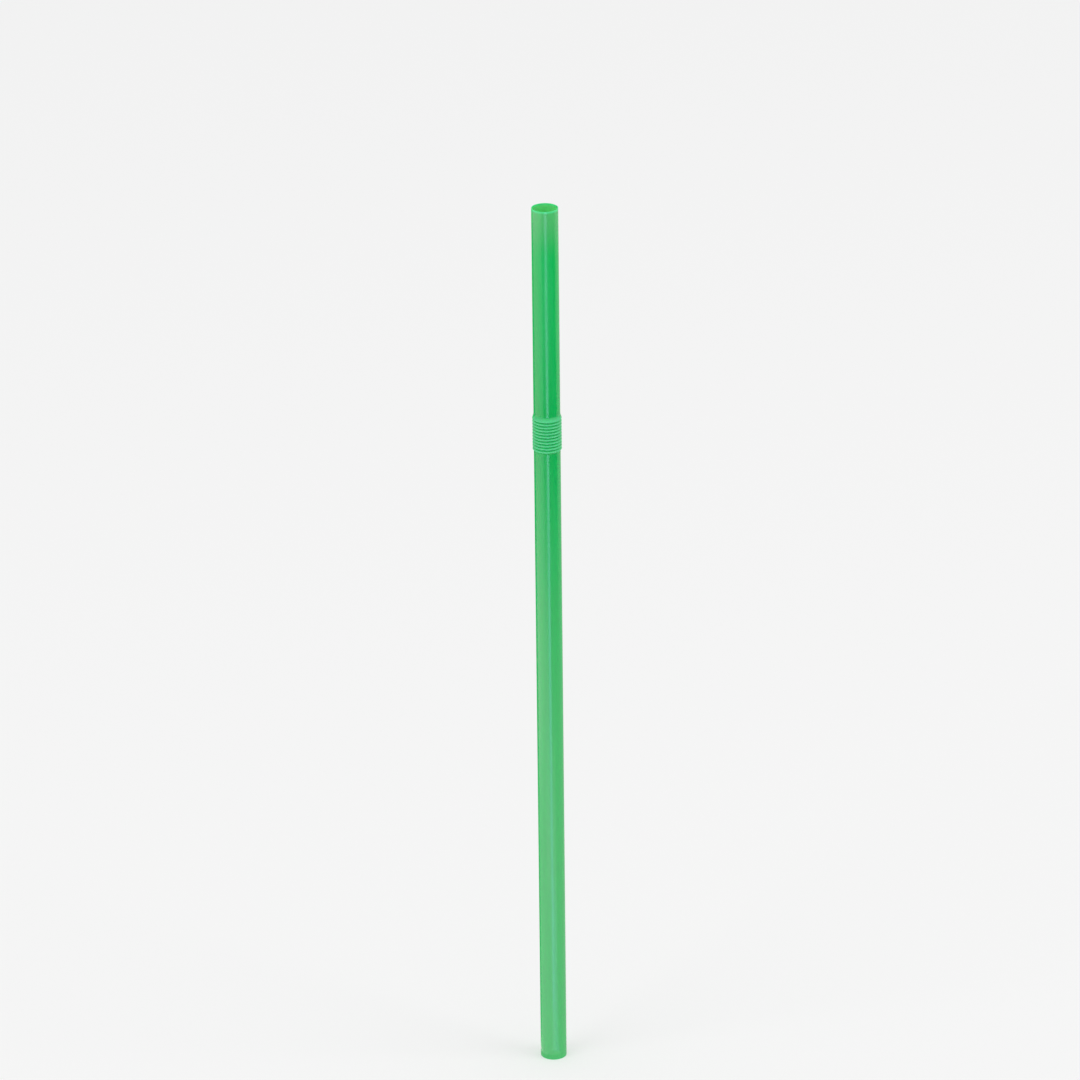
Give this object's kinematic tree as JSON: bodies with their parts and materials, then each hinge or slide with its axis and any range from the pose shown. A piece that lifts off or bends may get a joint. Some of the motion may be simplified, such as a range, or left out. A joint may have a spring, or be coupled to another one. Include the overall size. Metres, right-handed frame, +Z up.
{
  "type": "flexible drinking straw",
  "caption": "Flexible drinking straw: a thin straight plastic tube with a closed-up bellows that lets its mouth end bend.",
  "frame": {"origin": "middle of the foot end, on the surface the straw stands on", "axes": "+Z up the straw towards its mouth end; it is round, so +X and +Y are free"},
  "size_m": [0.0066, 0.0066, 0.21],
  "materials": {
    "straw_plastic": "thin translucent neon green polypropylene, smooth and softly glossy"
  },
  "bodies": {
    "root": {"straw": "straw_plastic"}
  },
  "joints": []
}
